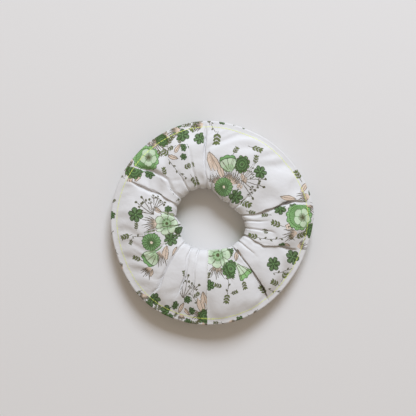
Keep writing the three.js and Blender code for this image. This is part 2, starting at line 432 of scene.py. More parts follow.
# Each motif: kind, its centre as (x, y) on the lying scrunchie, its size from the centre to its tip, and the
# way that its top points.
FRONT_MOTIFS = [
    # upper right: a posy of three flowers with clovers, long leaves and a spray of berries
    ("rosette", 6.0, 20.3, 5.6, 90),
    ("cup", 9.4, 34.0, 5.8, 98),
    ("ruffled", 17.2, 32.8, 4.5, 70),
    ("clover", 27.6, 28.6, 3.9, 20),
    ("clover", 13.3, 14.6, 4.2, -40),
    ("blush", 1.8, 34.2, 7.6, 116),
    ("blush", 5.0, 29.2, 5.0, 104),
    ("blush", 17.8, 25.0, 3.8, -62),
    ("berries", 24.2, 21.6, 8.6, -18),
    ("berries", 21.6, 26.6, 6.0, 38),
    ("bud", 15.4, 20.6, 1.9, 0),
    ("strokes", 13.6, 25.6, 5.6, 52),
    ("strokes", 9.0, 27.2, 4.6, 96),
    ("sprig", 13.6, 40.6, 2.6, 60),
    ("strokes", 1.2, 25.6, 4.4, 118),
    ("sprig", 24.9, 42.5, 3.6, -20),
    ("sprig", 24.9, 35.2, 2.8, 80),
    ("stem", 22.0, 31.5, 5.4, 48),
    ("sprig", 18.3, 10.9, 3.8, -25),
    ("sprig", 3.0, 49.6, 4.2, -92),
    ("stem", 0.6, 55.6, 4.4, -62),
    ("sprig", 21.6, 5.6, 2.4, -20),
    # right: a large pale flower in a green ruff, with leafy stems running to the hole
    ("ruffed", 50.2, 3.4, 8.4, 150),
    ("blush", 43.6, 14.2, 5.2, 172),
    ("blush", 53.8, 20.2, 4.2, 60),
    ("sprig", 50.3, 27.2, 3.4, 120),
    ("strokes", 52.6, 14.0, 5.0, 200),
    ("clover", 38.6, 7.6, 3.6, 10),
    ("clover", 46.6, 10.6, 3.2, 40),
    ("clover", 52.8, 11.4, 2.8, 0),
    ("strokes", 57.0, 7.0, 4.4, 300),
    ("ruffled", 58.0, -5.4, 4.2, 300),
    ("sprig", 30.4, 4.4, 2.6, 175),
    ("sprig", 37.1, -1.1, 3.4, 160),
    ("bud", 43.4, -2.5, 2.0, 30),
    ("sprig", 23.9, -8.8, 3.2, 165),
    ("sprig", 30.4, -5.9, 2.3, 120),
    ("stem", 33.0, -8.6, 9.0, 4),
    ("strokes", 44.0, -6.5, 5.0, 180),
    ("sprig", 50.6, -8.2, 3.6, 20),
    ("sprig", 45.6, -8.9, 2.2, 140),
    ("blush", 43.4, -13.0, 2.6, 150),
    ("clover", 40.4, -14.0, 2.7, 60),
    ("strokes", 53.0, -14.0, 3.8, 10),
    ("clover", 46.6, -21.0, 4.5, 15),
    ("clover", 34.6, -25.0, 4.1, 35),
    ("stem", 40.6, -28.6, 6.0, 12),
    ("sprig", 42.0, -31.6, 3.8, 60),
    ("sprig", 36.4, -36.0, 3.2, 150),
    ("stem", 35.6, -40.0, 5.0, -20),
    ("sprig", 29.2, -40.6, 3.2, 130),
    # below: a pale flower at the hole, two green ones, stamens and sprigs
    ("pale", 2.6, -19.6, 7.8, 250),
    ("strokes", 1.8, -29.6, 5.2, 262),
    ("ruffled", 10.0, -27.6, 5.4, 300),
    ("fan", 16.3, -28.5, 6.6, -54),
    ("clover", 9.8, -17.6, 2.9, 90),
    ("blush", 13.6, -19.6, 3.4, 80),
    ("sprig", 3.3, -37.2, 2.5, 170),
    ("stem", 7.4, -36.6, 6.0, 88),
    ("sprig", 7.6, -43.6, 3.2, 262),
    ("sprig", 11.2, -41.0, 2.2, 20),
    ("sprig", 17.2, -36.4, 2.7, 285),
    ("clover", -2.2, -37.0, 3.1, 0),
    ("sprig", -2.6, -32.0, 2.0, 80),
    # left: a posy of four flowers, with stamens, pods and grass
    ("rosette", -36.4, -11.2, 5.6, 60),
    ("pale", -27.4, -0.8, 7.0, 40),
    ("cup", -37.6, -20.8, 5.8, 218),
    ("clover", -45.2, 4.2, 4.4, 15),
    ("clover", -25.0, -9.8, 4.3, 50),
    ("clover", -26.6, 7.6, 2.3, 0),
    ("ruffled", -19.2, -5.0, 3.4, 0),
    ("berries", -39.4, 10.4, 7.6, 128),
    ("berries", -33.4, 12.6, 5.4, 75),
    ("strokes", -37.2, -1.0, 5.6, 182),
    ("sprig", -44.8, -2.8, 2.3, 85),
    ("sprig", -50.9, -8.4, 3.2, 200),
    ("sprig", -48.2, -11.2, 2.0, 250),
    ("stem", -41.4, -6.4, 8.0, 12),
    ("sprig", -44.6, -21.6, 2.8, 160),
    ("blush", -28.4, -18.6, 5.4, 80),
    ("blush", -22.8, -17.4, 3.6, 70),
    ("strokes", -31.8, -21.0, 6.0, 250),
    ("strokes", -39.4, -29.2, 4.2, 230),
    ("blush", -37.0, -29.6, 2.8, 250),
    ("blush", -32.4, 7.2, 2.8, 140),
    # upper left: a large green flower with clovers, buds and sprigs
    ("ruffed", -39.4, 37.2, 8.2, 215),
    ("ruffled", -46.6, 30.4, 5.0, 210),
    ("ruffled", -30.4, 48.4, 3.8, 140),
    ("clover", -37.4, 29.4, 3.4, 10),
    ("clover", -17.9, 50.9, 4.3, 70),
    ("clover", -7.6, 48.9, 4.0, 45),
    ("clover", -17.0, 43.2, 2.4, 30),
    ("clover", -16.8, 38.0, 2.0, 80),
    ("strokes", -30.6, 45.0, 7.4, -38),
    ("strokes", -24.4, 53.0, 5.4, 200),
    ("strokes", -30.0, 50.0, 5.0, 215),
    ("strokes", -36.0, 46.4, 4.4, 160),
    ("sprig", -21.4, 55.4, 3.0, 170),
    ("sprig", -32.0, 41.0, 3.2, -20),
    ("sprig", -27.6, 41.0, 3.4, 150),
    ("sprig", -19.2, 47.2, 2.6, 100),
    ("sprig", -24.0, 43.4, 2.6, 200),
    ("clover", -23.6, 52.4, 2.8, 0),
    ("strokes", -50.4, 30.0, 4.6, 235),
    ("sprig", -25.6, 47.6, 3.2, 60),
    ("blush", -20.4, 42.4, 3.4, 60),
    ("blush", -23.0, 38.2, 3.4, 160),
    ("stem", -19.6, 31.4, 8.6, -46),
    ("sprig", -14.8, 32.6, 3.0, 20),
    ("sprig", -11.2, 24.8, 3.4, -60),
    ("sprig", -28.0, 29.8, 2.8, 100),
    ("blush", -49.6, 23.8, 4.2, 250),
    ("blush", -44.6, 26.4, 3.2, 235),
    ("stem", -21.6, 18.0, 5.6, -60),
    ("sprig", -30.8, 16.0, 2.4, 150),
    ("sprig", -20.4, 13.4, 1.8, 30),
    ("sprig", -11.0, 56.6, 3.6, 230),
    ("strokes", -9.4, 57.2, 4.2, 185),
    ("sprig", -15.8, 57.6, 2.8, 190),
    # lower left: a cluster at the edge, a long spray and leaves cut off by the seam
    ("clover", -34.9, -45.2, 4.2, 25),
    ("clover", -27.2, -53.0, 4.4, 0),
    ("clover", -22.4, -48.8, 2.8, 40),
    ("blush", -18.6, -50.6, 3.6, 60),
    ("blush", -15.6, -52.8, 3.0, 130),
    ("clover", -14.8, -45.8, 2.4, 10),
    ("clover", -12.4, -52.4, 2.6, 80),
    ("berries", -15.6, -37.0, 8.2, 78),
    ("sprig", -17.0, -31.0, 2.2, 100),
    ("stem", -11.8, -45.0, 5.2, 130),
    ("sprig", -9.8, -43.2, 2.4, 40),
    ("blush", -6.8, -48.8, 6.0, 105),
    ("blush", -4.8, -46.0, 5.4, 100),
    ("ruffled", -4.6, -55.6, 4.4, 0),
    ("strokes", -9.6, -55.2, 4.6, 210),
]
BACK_TURN = 67.0  # the cloth of the back carries the same motifs, mirrored and turned by this much
# Small motifs that the edge cuts through, drawn at random: from, to, how many.
EDGE_MOTIFS = [(92, 152, 20), (222, 304, 26), (-30, 36, 14), (168, 214, 6), (44, 84, 7)]
EDGE_MOTIF_SEED = 7
EDGE_MOTIF_RADIUS_MM = 60.6
EDGE_MOTIF_SIZES_MM = (1.9, 3.0)
EDGE_KINDS = {"sprig": 0.5, "clover": 0.2, "strokes": 0.3}  # and how often each comes
EDGE_SPREAD = 1.5
EDGE_SPREAD_MM = 1.2
PRINT_TURNS_MM = 22.0  # within this radius the cloth turns down into the hole

# The motif kinds by the layer of the print that draws them, the lowest layer first.
LAYERS = [
    ["sprig", "berries", "stem"],
    ["clover", "blush", "strokes", "bud"],
    ["rosette", "cup", "ruffled", "pale", "ruffed", "fan"],
]
SPRIG_GROWTH = 1.2
MOTIF_REACH = 1.25  # a motif is drawn as far as this many times its size
MOTIF_REACH_MM = 1.0  # and what is added to that
STRONG_FOLD = 0.5  # a fold with at least this share cuts the print in two


def all_motifs():
    """All motifs as rows of kind number, x, y, size, turn, and 0 for the front or 1 for the back."""
    order = [kind for layer in LAYERS for kind in layer]
    motifs = []
    for kind, x, y, size, turn in FRONT_MOTIFS:
        size *= SPRIG_GROWTH if kind == "sprig" else 1
        motifs.append((order.index(kind), x, y, size, math.radians(turn - 90), 0))
    rng = np.random.default_rng(EDGE_MOTIF_SEED)
    for first, last, count in EDGE_MOTIFS:
        spread = rng.uniform(-EDGE_SPREAD, EDGE_SPREAD, count)
        for angle in np.radians(np.linspace(first, last, count) + spread):
            kind = list(EDGE_KINDS)[rng.choice(len(EDGE_KINDS), p=list(EDGE_KINDS.values()))]
            r = EDGE_MOTIF_RADIUS_MM + rng.uniform(-EDGE_SPREAD_MM, EDGE_SPREAD_MM)
            size = rng.uniform(*EDGE_MOTIF_SIZES_MM)
            turn = rng.uniform(0, TURN)
            motifs.append((order.index(kind), r * math.cos(angle), r * math.sin(angle), size, turn, 0))
    by = math.radians(BACK_TURN)
    for kind, x, y, size, turn, _ in list(motifs):
        back_x = -x * math.cos(by) - y * math.sin(by)
        back_y = -x * math.sin(by) + y * math.cos(by)
        motifs.append((kind, back_x, back_y, size, by - turn, 1))
    return np.array(motifs)


def print_radii():
    """The radius in the flat print of each row of the cloth. Where the cloth turns down into the hole, the
    print runs on at its true length."""
    radius = fine_section[:, 0]
    rise = np.diff(fine_section[:, 1])
    along = np.concatenate([[0], np.cumsum(np.hypot(np.diff(radius), rise))])
    down = np.flatnonzero(radius < PRINT_TURNS_MM)
    to_wall = np.minimum(along[down] - along[down[0]], along[down[-1]] - along[down])
    flat = radius.copy()
    flat[down] = PRINT_TURNS_MM - to_wall
    return flat


def print_corners():
    """For each corner of each face of the cover, its place in the flat print in millimetres; for each face
    the number of strong folds before it, and 1 on the back. The print runs on under each fold from the cloth
    on both sides."""
    radius, start, left, right, right_angle, cloth = (
        np.array([getattr(place, name) for place in places])
        for name in ("radius", "start", "left_cloth", "right_cloth", "right", "cloth")
    )
    step = cloth[:, 1]
    flat_radius = print_radii()
    middle = (left + right) / 2
    panel_edges = np.concatenate([np.zeros((len(places), 1)), right], axis=1)
    panel_angles = np.concatenate([start[:, None], right_angle], axis=1)
    upper = all_rows[:-1]
    lower = all_rows[1:]
    panel = np.stack([np.searchsorted(middle[row], cloth[row] + step[row] / 2) for row in upper])
    corners = []
    for rows, shift in ((upper, 0), (upper, 1), (lower, 1), (lower, 0)):
        along = cloth[rows] + shift * step[rows][:, None]
        edge = np.take_along_axis(panel_edges[rows], panel, axis=1)
        edge_angle = np.take_along_axis(panel_angles[rows], panel, axis=1)
        angle = edge_angle + (along - edge) / radius[rows][:, None]
        r = flat_radius[rows][:, None]
        corners.append(limp(np.stack([r * np.cos(angle), r * np.sin(angle)], axis=2)))
    strong = np.concatenate([[0], np.cumsum([fold.share >= STRONG_FOLD for fold in FOLDS])])
    back = np.broadcast_to((upper >= int(np.argmin(radius)))[:, None], panel.shape)
    return np.stack(corners, axis=2).reshape(-1, 4, 2), strong[panel].ravel(), back.ravel().astype(int)


def group_of(x, y):
    """The number of strong folds before a place on the front, counted from the seam."""
    radius = math.hypot(x, y)
    angle = math.degrees(math.atan2(y, x))
    seam = -90 + math.degrees(math.asin(SEAM_X_MM / radius))
    angle = angle + 360 if angle < seam else angle
    lines = [np.array(fold.line, float).T for fold in FOLDS if fold.share >= STRONG_FOLD]
    return sum(angle > np.interp(radius, *line) for line in lines)


def give_motifs(mesh):
    """Writes each layer's motifs to the faces' corners: the place in the motif's own frame, its kind and its
    size, in millimetres. A face takes the motif that it lies deepest in."""
    corners, group, back = print_corners()
    centre = corners.mean(axis=1)
    motifs = all_motifs()
    first = 0
    for number, kinds in enumerate(LAYERS):
        nearest = np.full(len(centre), 1.0)
        data = np.zeros((len(centre), 4, 4), np.float32)
        data[..., 2] = -1
        drawn_here = (motifs[:, 0] >= first) & (motifs[:, 0] < first + len(kinds))
        for kind, x, y, size, turn, side in motifs[drawn_here]:
            away = np.hypot(centre[:, 0] - x, centre[:, 1] - y) / (MOTIF_REACH * size + MOTIF_REACH_MM)
            mine = (away < nearest) & (back == side)
            if not side:
                mine &= group == group_of(x, y)
            nearest[mine] = away[mine]
            dx = corners[mine, :, 0] - x
            dy = corners[mine, :, 1] - y
            data[mine, :, 0] = dx * math.cos(turn) + dy * math.sin(turn)
            data[mine, :, 1] = dy * math.cos(turn) - dx * math.sin(turn)
            data[mine, :, 2] = kind - first
            data[mine, :, 3] = size
        layer = mesh.attributes.new(f"print_{number}", "FLOAT_COLOR", "CORNER")
        layer.data.foreach_set("color", data.ravel())
        first += len(kinds)
    plane = mesh.uv_layers.new(name="print")
    plane.data.foreach_set("uv", (corners / OUTER_RADIUS_MM).ravel().astype(np.float32))


# ---------------------------------------------------------------- materials


class Num:
    """A number in a node tree. Arithmetic on it adds Math nodes."""

    def __init__(self, tree, socket):
        self.tree = tree
        self.socket = socket

    def math(self, operation, *others, clamp=False):
        node = self.tree.nodes.new("ShaderNodeMath")
        node.operation = operation
        node.use_clamp = clamp
        for slot, value in zip(node.inputs, (self, *others)):
            put(slot, value)
        return Num(self.tree, node.outputs[0])


def put(slot, value):
    """Sets a node's input to a number, a colour or a vector, or links it."""
    if isinstance(value, Num):
        value.tree.links.new(value.socket, slot)
    else:
        slot.default_value = value


for method, operation in {"add": "ADD", "sub": "SUBTRACT", "mul": "MULTIPLY", "truediv": "DIVIDE"}.items():
    setattr(Num, f"__{method}__", lambda a, b, operation=operation: a.math(operation, b))
Num.__radd__ = lambda a, b: a.math("ADD", b)
Num.__rmul__ = lambda a, b: a.math("MULTIPLY", b)
Num.__rsub__ = lambda a, b: (a * -1).math("ADD", b)
Num.__abs__ = lambda a: a.math("ABSOLUTE")

SOFT_MM = 0.16  # width of the soft edge of what is printed
LINE_MM = 0.17  # half the width of a printed line
LEAF_LEAN = math.radians(40)  # between a small leaf and its stem
STEM_LEAF_PITCH_MM = 3.2


def inside(depth_mm):
    """1 where a depth in millimetres is above zero and 0 where it is below, with a soft edge."""
    return depth_mm.math("MULTIPLY_ADD", 1 / SOFT_MM, 0.5, clamp=True)


def between(value, low, high):
    """1 where a value without a size lies between two limits."""
    return value.math("GREATER_THAN", low) * value.math("LESS_THAN", high)


def length(x, y):
    return (x * x + y * y).math("SQRT")


def polar(x, y):
    """The distance from a motif's middle and the angle from +X."""
    return length(x, y), y.math("ARCTAN2", x)


def from_foot(x, y, s):
    """The distance from a motif's foot and the angle from its upward direction."""
    return length(x, y + s), x.math("ARCTAN2", y + s)


def petals(angle, count):
    """1 in the middle of each petal and 0 between two, for a count of half the petals of a full turn."""
    return abs((angle * count).math("COSINE"))


def rays(angle, count):
    """0 on each ray and 1 between two, for a count of half the rays of a full turn."""
    return abs((angle * count).math("SINE"))


def ridges(place, pitch):
    """0 at each pitch along a line and 1 between two."""
    return abs((place * (math.pi / pitch)).math("SINE"))


def linear(*screen):
    """A colour from its red, green and blue as a screen shows them, from 0 to 255."""
    shares = [value / 255 for value in screen]
    channels = [c / 12.92 if c <= 0.04045 else ((c + 0.055) / 1.055) ** 2.4 for c in shares]
    return (*channels, 1.0)


INK = linear(82, 70, 42)
DARK_GREEN = linear(76, 106, 50)
DEEP_GREEN = linear(54, 72, 34)
LEAF_GREEN = linear(104, 116, 64)
MID_GREEN = linear(114, 160, 94)
BRIGHT_GREEN = linear(140, 190, 118)
PALE_GREEN = linear(202, 220, 188)
OLIVE = linear(80, 78, 40)
BLUSH = linear(230, 208, 188)
CREAM = linear(236, 224, 200)


# Each function below draws a kind of motif from the place in its own frame and its size s: a list of shares
# of cover with their inks, the lowest first. Bare numbers in them are shares of the size, counts round the
# motif, or widths in millimetres.


def rosette(x, y, s):
    r, a = polar(x, y)
    petal = petals(a, 9)
    rim = s * (petal * 0.1 + 0.9)
    body = inside(rim - r)
    return [
        (body, MID_GREEN),
        (body * inside(s * 0.5 - r) * 0.4, DARK_GREEN),
        (body * inside(LINE_MM * 0.8 - r * petal / 9) * inside(r - s * 0.24), DEEP_GREEN),
        (body * inside(r - rim + 0.3), DEEP_GREEN),
        (inside(s * 0.2 - r), DEEP_GREEN),
        (inside(s * 0.14 - r), CREAM),
    ]


def cup(x, y, s):
    r, a = from_foot(x, y, s)
    rim = s * (petals(a, 8) * 0.1 + 1.66)
    bowl = length(x / 0.86, y * 1.02)
    body = inside(s * 0.97 - bowl) * inside(rim - r)
    stripe = inside(LINE_MM - r * rays(a, 7) / 7) * inside(r - s * 0.35) * inside(s * 1.45 - r)
    return [
        (body, PALE_GREEN),
        (body * inside(s * 0.8 - r) * 0.4, BRIGHT_GREEN),
        (body * inside(r - s * 1.42), MID_GREEN),
        (body * stripe, INK),
        (body * inside(0.3 - abs(r - s * 1.42)) * 0.8, DEEP_GREEN),
        (body * inside(bowl - s * 0.97 + 0.35), DEEP_GREEN),
        (body * inside(r - rim + 0.3), DEEP_GREEN),
    ]


def ruffled(x, y, s):
    r = length(x, y * 0.85)
    a = y.math("ARCTAN2", x)
    lobes = petals(a, 4.5)
    rim = s * (lobes * 0.16 + 0.84)
    body = inside(rim - r)
    ring = (r / s + lobes * 0.08) * 3.2
    line = abs(ring.math("FRACT") - 0.5) * s / 3.2
    return [
        (body, DARK_GREEN),
        (body * between((ring * 0.5).math("FRACT"), 0.45, 1.0) * 0.8, MID_GREEN),
        (body * inside(0.14 - r * rays(a, 13) / 13) * inside(r - s * 0.3) * 0.8, DEEP_GREEN),
        (body * inside(LINE_MM - line), DEEP_GREEN),
        (body * inside(r - rim + 0.3), INK),
    ]


def pale(x, y, s):
    r, a = polar(x, y)
    petal = petals(a, 3.5)
    rim = s * (petal.math("POWER", 0.6) * 0.22 + 0.78)
    body = inside(rim - r)
    hatch = inside(0.11 - r * rays(a, 20) / 20) * inside(r - s * 0.3) * inside(s * 0.66 - r)
    return [
        (body, PALE_GREEN),
        (body * inside(s * 0.42 - r) * 0.7, MID_GREEN),
        (body * hatch * 0.75, DARK_GREEN),
        (body * inside(LINE_MM - r * petal / 3.5) * inside(r - s * 0.25), INK),
        (body * inside(r - rim + 0.34), INK),
        (inside(s * 0.14 - r), OLIVE),
    ]


def ruffed(x, y, s):
    """A large pale flower that sits off the middle of a green ruff."""
    r, a = polar(x, y)
    rim = s * (petals(a, 6.5) * 0.1 + 0.9)
    ruff = inside(rim - r)
    inner, turn = polar(x, y + s * 0.22)
    petal = petals(turn, 2.5)
    heart_rim = s * (petal * 0.14 + 0.54)
    heart = inside(heart_rim - inner)
    return [
        (ruff, BRIGHT_GREEN),
        (ruff * inside(s * 0.76 - r) * 0.5, MID_GREEN),
        (ruff * inside(0.13 - r * rays(a, 19) / 19) * 0.8, DARK_GREEN),
        (ruff * inside(0.18 - abs(r - s * 0.76)), DARK_GREEN),
        (ruff * inside(r - rim + 0.32), DEEP_GREEN),
        (heart, PALE_GREEN),
        (heart * inside(LINE_MM - inner * petal / 2.5), MID_GREEN),
        (heart * inside(0.12 - inner * rays(turn, 11) / 11) * inside(s * 0.3 - inner), OLIVE),
        (heart * inside(inner - heart_rim + 0.32), DARK_GREEN),
    ]


def clover(x, y, s):
    r, a = polar(x, y)
    rim = s * (petals(a, 3).math("POWER", 0.5) * 0.4 + 0.6)
    body = inside(rim - r)
    vein = rays(a, 3) / 3
    return [
        (body, DARK_GREEN),
        (body * inside(0.13 - r * vein) * inside(s * 0.7 - r) * 0.45, MID_GREEN),
        (body * inside(0.16 - r * (0.333 - vein)) * inside(s * 0.72 - r), DEEP_GREEN),
        (body * inside(r - rim + 0.35), DEEP_GREEN),
        (inside(s * 0.1 - r), MID_GREEN),
    ]


def blush(x, y, s):
    along = y / s
    half = s * 0.36 * (1 - along * along)
    off = abs(x + half * 0.15)
    body = inside(half - off)
    vein = (y - abs(x)) / 1.1
    return [
        (body, BLUSH),
        (body * inside(0.13 - abs(x)), INK),
        (body * inside(0.1 - abs(vein - vein.math("ROUND"))) * 0.35, INK),
        (body * inside(off - half + 0.32), INK),
    ]


def strokes(x, y, s):
    r, a = from_foot(x, y, s)
    bent = (a + r / s * 0.12) * 6
    ray = bent.math("ROUND")
    reach = s * ((ray * 2.3).math("SINE") * 0.3 + 1.6)
    off = r * abs(bent - ray) / 6
    width = (1 - r / reach) * 0.5 + 0.12
    spread = inside((0.75 - abs(a)) * 4) * inside(reach - r) * inside(r - 0.5)
    return [(spread * inside(width - off), INK), (spread * inside(width - off - 0.3), BLUSH)]


def bud(x, y, s):
    r, a = polar(x, y)
    rim = s * (petals(a, 2.5) * 0.25 + 0.75)
    body = inside(rim - r)
    return [(body, BLUSH), (body * inside(r - rim + 0.3), INK), (inside(0.25 * s - r), OLIVE)]


def leaf_depth(u, v, length_mm, half_mm):
    """How deep a place lies in a pointed leaf that starts at the origin and runs along u."""
    across = u * 2 / length_mm - 1
    return (1 - across * across) * half_mm - abs(v)


def leaning_leaf(out, ahead, length_mm, half_mm):
    """The same for a leaf that leans out from its stem."""
    forward = math.cos(LEAF_LEAN)
    aside = math.sin(LEAF_LEAN)
    return leaf_depth(out * aside + ahead * forward, out * forward - ahead * aside, length_mm, half_mm)


def sprig(x, y, s):
    """A thin stem that ends in a tuft of pointed leaves, three pairs and one at the tip."""
    side = abs(x)
    pitch = s * 0.42
    half = s * 0.15
    foot = ((y - side / math.tan(LEAF_LEAN)) / pitch).math("ROUND").math("MAXIMUM", -1).math("MINIMUM", 1)
    pair = leaning_leaf(side, y - foot * pitch, s * 0.66, half)
    tip = leaf_depth(y - s * 0.4, x, s * 0.62, half)
    leaf = pair.math("MAXIMUM", tip)
    stem_line = inside(0.16 - side) * inside(s * 0.78 - abs(y + s * 0.3))
    return [(stem_line, INK), (inside(leaf), OLIVE), (inside(leaf - 0.2), LEAF_GREEN)]


def berries(x, y, s):
    """A spray of five stalks with a berry at each tip and two more on twigs."""
    r, a = from_foot(x, y, s)
    ray = (a * 3).math("ROUND").math("MAXIMUM", -2).math("MINIMUM", 2)
    off = r * abs(a - ray / 3)
    reach = s * ((ray * 1.9 + 1).math("COSINE") * 0.28 + 1.5)
    spread = inside((1.1 - abs(a)) * 4)
    stems = inside(0.2 - off) * inside(reach - r)
    twigs = inside(0.18 - abs(r - reach * 0.72 + 0.35 - off)) * inside(1.0 - off)
    balls = inside(0.75 - length(off, r - reach))
    side_balls = inside(0.68 - length(off - 1.2, r - reach * 0.72 - 0.65))
    return [
        (stems.math("MAXIMUM", twigs) * spread, INK),
        (balls.math("MAXIMUM", side_balls) * spread, OLIVE),
    ]


def stem(x, y, s):
    """A long bowed stem with small pointed leaves on one side and the other."""
    bow = (y / s * 1.5).math("COSINE") * s * 0.16
    line = inside(0.15 - abs(x - bow)) * inside(s - abs(y))
    foot = (y / STEM_LEAF_PITCH_MM).math("ROUND")
    out = (x - bow) * (foot * math.pi).math("COSINE")
    leaf = leaning_leaf(out, y - foot * STEM_LEAF_PITCH_MM + 0.5, 1.9, 0.42)
    return [(line, INK), (inside(leaf) * inside(s * 1.04 - abs(y)), OLIVE)]


def fan(x, y, s):
    """Half a flower, seen from the side: pale petals that spread from the foot and end in a green fringe."""
    r, a = from_foot(x, y, s)
    rim = s * (petals(a, 11) * 0.12 + 1.72)
    body = inside(rim - r) * inside(s * 0.7 - abs(x)) * inside((0.4 - abs(a)) * 5)
    return [
        (body, PALE_GREEN),
        (body * inside(r - s * 1.36), BRIGHT_GREEN),
        (body * inside(LINE_MM - r * rays(a, 11) / 11) * inside(r - s * 0.3), INK),
        (body * inside(0.28 - abs(r - s * 1.36)) * 0.8, DARK_GREEN),
        (body * inside(abs(a) * 5 - 1.8), INK),
        (body * inside(r - rim + 0.32), DEEP_GREEN),
    ]


KINDS = (rosette, cup, ruffled, pale, ruffed, clover, blush, strokes, bud, sprig, berries, stem, fan)
DRAW = {kind.__name__: kind for kind in KINDS}


def mix_colour(tree, share, below, above):
    node = tree.nodes.new("ShaderNodeMix")
    node.data_type = "RGBA"
    put(node.inputs[0], share)
    put(node.inputs[6], below)
    put(node.inputs[7], above)
    return Num(tree, node.outputs[2])


def new_material(name, roughness, **fixed):
    """A material with its node tree and main shader. A fixed input is a constant, as Sheen_Weight=0.2."""
    made = bpy.data.materials.new(name)
    made.use_nodes = True
    shader = made.node_tree.nodes["Principled BSDF"]
    shader.inputs["Roughness"].default_value = roughness
    for key, value in fixed.items():
        shader.inputs[key.replace("_", " ")].default_value = value
    return made, made.node_tree, shader


def texture_place(tree, scale, uv=None):
    """Coordinates for a texture, times the scale: from the UV map named, or else the object's own."""
    source = tree.nodes.new("ShaderNodeUVMap" if uv else "ShaderNodeTexCoord")
    if uv:
        source.uv_map = uv
    moved = tree.nodes.new("ShaderNodeVectorMath")
    moved.operation = "SCALE"
    tree.links.new(source.outputs[0 if uv else "Object"], moved.inputs[0])
    moved.inputs["Scale"].default_value = scale
    return Num(tree, moved.outputs[0])


def noise(tree, place, scale, detail=2.0, output="Fac"):
    node = tree.nodes.new("ShaderNodeTexNoise")
    put(node.inputs["Vector"], place)
    node.inputs["Scale"].default_value = scale
    node.inputs["Detail"].default_value = detail
    return Num(tree, node.outputs[output])


def parts(tree, kind, whole):
    """The three parts of a colour or a vector, by the kind of node that takes it apart."""
    node = tree.nodes.new(kind)
    put(node.inputs[0], whole)
    return [Num(tree, output) for output in node.outputs]


def bump(tree, height, distance_mm, strength, below=None):
    node = tree.nodes.new("ShaderNodeBump")
    put(node.inputs["Height"], height)
    node.inputs["Distance"].default_value = distance_mm * MM
    node.inputs["Strength"].default_value = strength
    if below:
        put(node.inputs["Normal"], below)
    return Num(tree, node.outputs[0])


CLOTH_WHITE = linear(226, 224, 223)
CLOTH_SHADE = linear(220, 218, 218)
WEAVE_PITCH_MM = 0.42
PRINT_WOBBLE_MM = 0.9  # how far the noise moves a motif's lines, from one side to the other
INK_LEAST = 0.5  # the share of the ink that is left where it is worn most
INK_WEAR = 0.9


def printed(tree, flat_mm, colour):
    """The cloth's colour with the layers of the print over it, its lines unsteady and its ink worn."""
    uneven = noise(tree, flat_mm, scale=0.9, detail=3.0, output="Color")
    wobble = parts(tree, "ShaderNodeSeparateColor", uneven)
    shift_x, shift_y = ((wobble[k] - 0.5) * PRINT_WOBBLE_MM for k in (0, 1))
    worn = noise(tree, flat_mm, scale=2.2, detail=4.0)
    ink_cover = worn.math("MULTIPLY_ADD", INK_WEAR, INK_LEAST, clamp=True)
    for number, kinds in enumerate(LAYERS):
        attribute = tree.nodes.new("ShaderNodeAttribute")
        attribute.attribute_name = f"print_{number}"
        x, y, kind = parts(tree, "ShaderNodeSeparateColor", Num(tree, attribute.outputs["Color"]))
        size = Num(tree, attribute.outputs["Alpha"])
        for code, name in enumerate(kinds):
            chosen = between(kind, code - 0.5, code + 0.5) * ink_cover
            for share, ink in DRAW[name](x + shift_x, y + shift_y, size):
                colour = mix_colour(tree, share * chosen, colour, ink)
    return colour


def cotton_material():
    made, tree, shader = new_material("printed_cotton", 0.85, Sheen_Weight=0.15, Sheen_Roughness=0.5)
    flat_mm = texture_place(tree, OUTER_RADIUS_MM, "print")
    plain = mix_colour(tree, noise(tree, flat_mm, scale=0.12), CLOTH_WHITE, CLOTH_SHADE)
    put(shader.inputs["Base Color"], printed(tree, flat_mm, plain))
    place = parts(tree, "ShaderNodeSeparateXYZ", flat_mm)
    warp, weft = (ridges(place[k], WEAVE_PITCH_MM) for k in (0, 1))
    woven = bump(tree, warp * weft, distance_mm=0.04, strength=0.6)
    slubs = noise(tree, flat_mm, scale=0.5, detail=4.0)
    put(shader.inputs["Normal"], bump(tree, slubs, distance_mm=0.5, strength=0.35, below=woven))
    return made


def finish_piece(piece, node, material):
    """Gives a piece its material, puts it on the part's root body and hides the CAD node that it takes the
    place of.
    """
    piece.data.materials.append(material)
    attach(piece, "root")
    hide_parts(node)


give_motifs(cover.data)
finish_piece(cover, "cover", cotton_material())

# ---------------------------------------------------------------- threads and elastic

TOPSTITCH_RADIUS_MM = 56.4  # in the round ring
TOPSTITCH_PITCH_MM = 2.1
SEAM_PITCH_MM = 2.4
SEAM_RADIUS_MM = 55.5  # the cross seam's stitches end here
THREAD_MM = 0.5  # diameter
THREAD_SINKS = 0.45  # the share of it that lies in the cloth
TOPSTITCH_LIFT_MM = 0.16  # how far a stitch lies above the cloth beyond that
SEAM_LIFT_MM = -0.02
STITCH_GAP_MM = 0.35  # cloth seen between one stitch and the next
BACK_TACK = (-96.5, -88.5)  # angles between which the topstitching is sewn over again
BACK_TACK_LIFT_MM = 0.3
BACK_TACK_RUNS = [(0.4, 1.7), (0.1, 2.6), (-0.35, 2.3)]  # how far outside the first seam, pitch
THREAD_SIDES = 8
THREAD_RINGS = 9


